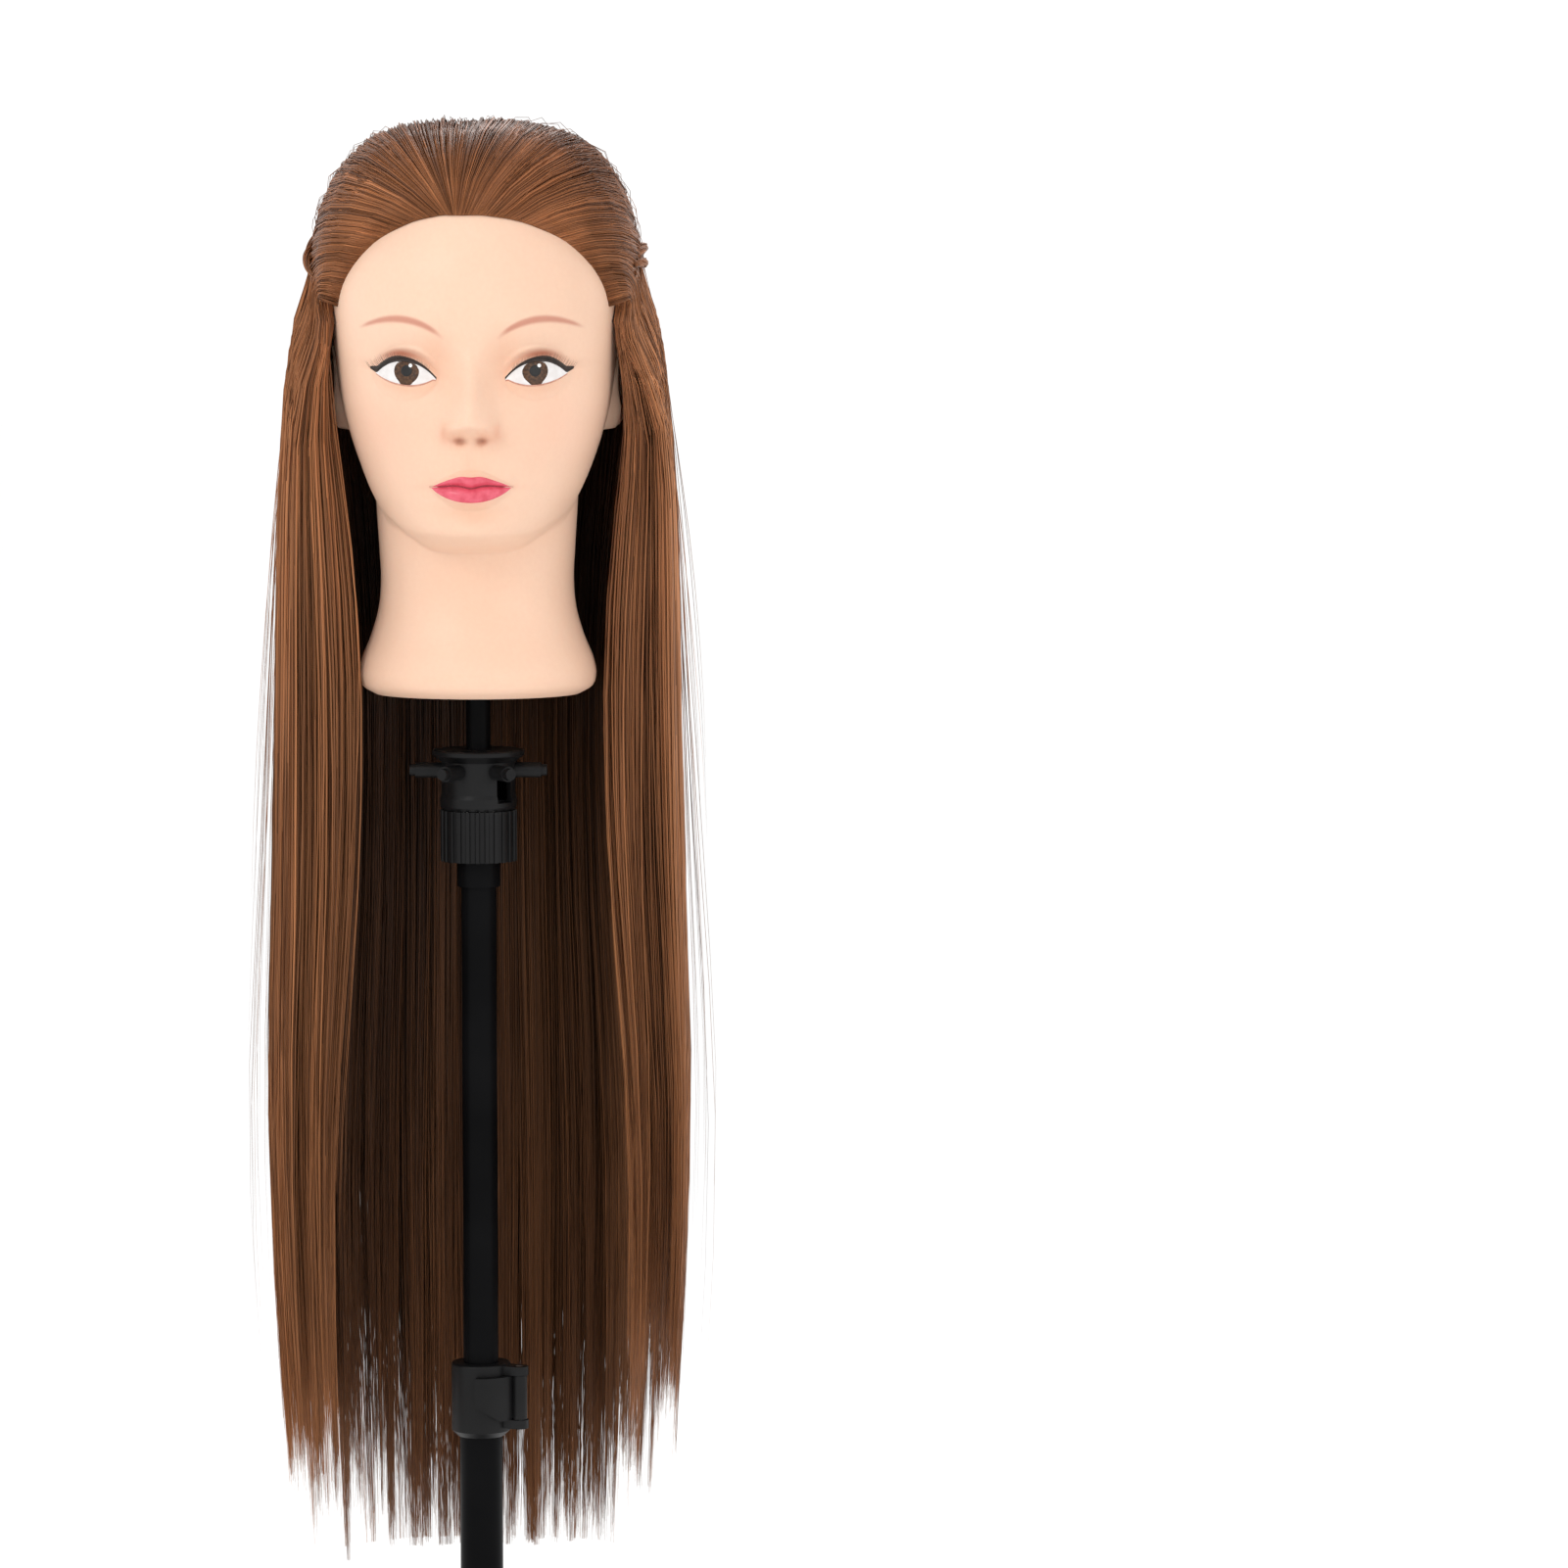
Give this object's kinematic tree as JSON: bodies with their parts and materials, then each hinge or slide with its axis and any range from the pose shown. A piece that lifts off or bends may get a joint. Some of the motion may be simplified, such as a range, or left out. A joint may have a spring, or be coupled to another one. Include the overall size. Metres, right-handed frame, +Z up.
{
  "type": "mannequin training head",
  "caption": "Hairdressing practice head with a moulded face and waist-long braided hair, on a swivel peg and a height-adjustable folding tripod stand.",
  "frame": {"origin": "middle of the footprint's box on the floor; the pole's axis stands in front of it", "axes": "+Z up along the pole, the face looks towards -Y, +X is to the right seen from the front"},
  "size_m": [0.5884, 0.51, 1.1924],
  "materials": {
    "tube_black": "satin",
    "plastic_black": "satin",
    "steel": "satin",
    "spindle_black": "gloss",
    "nylon": "satin",
    "rubber_foot": "matte",
    "vinyl_skin": "satin",
    "socket_plastic": "satin",
    "cap_net": "matte",
    "hair": "gloss",
    "hair_elastic": "satin"
  },
  "bodies": {
    "stand_base": {"lower_tube": "tube_black", "tube_end_cap": "plastic_black", "base_hub": "plastic_black", "hub_rivets": "steel", "clamp_collar": "plastic_black", "clamp_pad": "nylon", "clamp_pin": "steel"},
    "clamp_lever": {"clamp_lever": "plastic_black"},
    "leg_collar": {"leg_collar": "plastic_black", "collar_pins": "steel"},
    "collar_knob": {"collar_knob": "plastic_black", "knob_stem": "steel"},
    "mast": {"upper_tube": "tube_black", "tube_sleeve": "tube_black", "bearing_bush": "nylon", "mast_flange": "plastic_black", "thrust_washer": "nylon"},
    "lock_ring": {"lock_ring": "plastic_black"},
    "swivel": {"hub_body": "plastic_black", "hub_flange": "plastic_black", "hub_studs": "plastic_black", "spindle": "spindle_black", "spindle_clip": "steel", "head_peg": "plastic_black", "peg_pin": "steel"},
    "head": {"face_shell": "vinyl_skin", "neck_plug": "vinyl_skin", "neck_socket": "socket_plastic", "scalp_cap": "cap_net", "hair_crown": "hair", "hair_left": "hair", "hair_right": "hair", "hair_back": "hair", "twist_left": "hair", "twist_right": "hair", "hair_tie_top": "hair_elastic", "braid": "hair", "hair_tie_end": "hair_elastic", "braid_tail": "hair"},
    "leg_1": {"leg_1": "tube_black", "foot_1": "rubber_foot", "leg_rivet_1": "steel"},
    "brace_1": {"brace_1": "tube_black"},
    "leg_2": {"leg_2": "tube_black", "foot_2": "rubber_foot", "leg_rivet_2": "steel"},
    "brace_2": {"brace_2": "tube_black"},
    "leg_3": {"leg_3": "tube_black", "foot_3": "rubber_foot", "leg_rivet_3": "steel"},
    "brace_3": {"brace_3": "tube_black"}
  },
  "joints": [
    {"name": "collar_slide", "type": "slide", "parent": "stand_base", "child": "leg_collar", "axis": [0, 0, 1], "range_m": [0, 0.12773]},
    {"name": "leg_fold_1", "type": "hinge", "parent": "leg_collar", "child": "leg_1", "pos_m": [0, -0.05704, 0.25955], "axis": [-1, 0, 0], "range_deg": [0, 46]},
    {"name": "brace_fold_1", "type": "hinge", "parent": "leg_1", "child": "brace_1", "pos_m": [0, 0.08085, 0.14385], "axis": [1, 0, 0], "range_deg": [0, 92.01]},
    {"name": "leg_fold_2", "type": "hinge", "parent": "leg_collar", "child": "leg_2", "pos_m": [-0.02079, -0.09304, 0.25955], "axis": [0.5, -0.866, 0], "range_deg": [0, 46]},
    {"name": "brace_fold_2", "type": "hinge", "parent": "leg_2", "child": "brace_2", "pos_m": [-0.1402, -0.16198, 0.14385], "axis": [-0.5, 0.866, 0], "range_deg": [0, 92.01]},
    {"name": "leg_fold_3", "type": "hinge", "parent": "leg_collar", "child": "leg_3", "pos_m": [0.02079, -0.09304, 0.25955], "axis": [0.5, 0.866, 0], "range_deg": [0, 46]},
    {"name": "brace_fold_3", "type": "hinge", "parent": "leg_3", "child": "brace_3", "pos_m": [0.1402, -0.16198, 0.14385], "axis": [-0.5, -0.866, 0], "range_deg": [0, 92.01]},
    {"name": "collar_knob_turn", "type": "hinge", "parent": "leg_collar", "child": "collar_knob", "pos_m": [0, -0.10254, 0.26355], "axis": [0, -1, 0], "range_deg": [-540, 0]},
    {"name": "clamp_lever_flip", "type": "hinge", "parent": "stand_base", "child": "clamp_lever", "pos_m": [0.01993, -0.08909, 0.5277], "axis": [0, 0, 1], "range_deg": [0, 100]},
    {"name": "mast_slide", "type": "slide", "parent": "stand_base", "child": "mast", "axis": [0, 0, 1], "range_m": [-0.15, 0.15]},
    {"name": "lock_ring_turn", "type": "hinge", "parent": "mast", "child": "lock_ring", "pos_m": [0, -0.08104, 0.8152], "axis": [0, 0, 1], "range_deg": [-270, 0]},
    {"name": "head_turn", "type": "hinge", "parent": "mast", "child": "swivel", "pos_m": [0, -0.08104, 0.8415], "axis": [0, 0, 1], "continuous": true},
    {"name": "head_lift", "type": "slide", "parent": "swivel", "child": "head", "axis": [0, 0, 1], "range_m": [0, 0.11]}
  ],
  "couplings": [
    {"joint": "collar_slide", "follows": "leg_fold_1", "m_per_rad": 0.15908},
    {"joint": "brace_fold_1", "follows": "leg_fold_1", "ratio": 2},
    {"joint": "leg_fold_2", "follows": "leg_fold_1", "ratio": 1},
    {"joint": "brace_fold_2", "follows": "leg_fold_1", "ratio": 2},
    {"joint": "leg_fold_3", "follows": "leg_fold_1", "ratio": 1},
    {"joint": "brace_fold_3", "follows": "leg_fold_1", "ratio": 2}
  ]
}
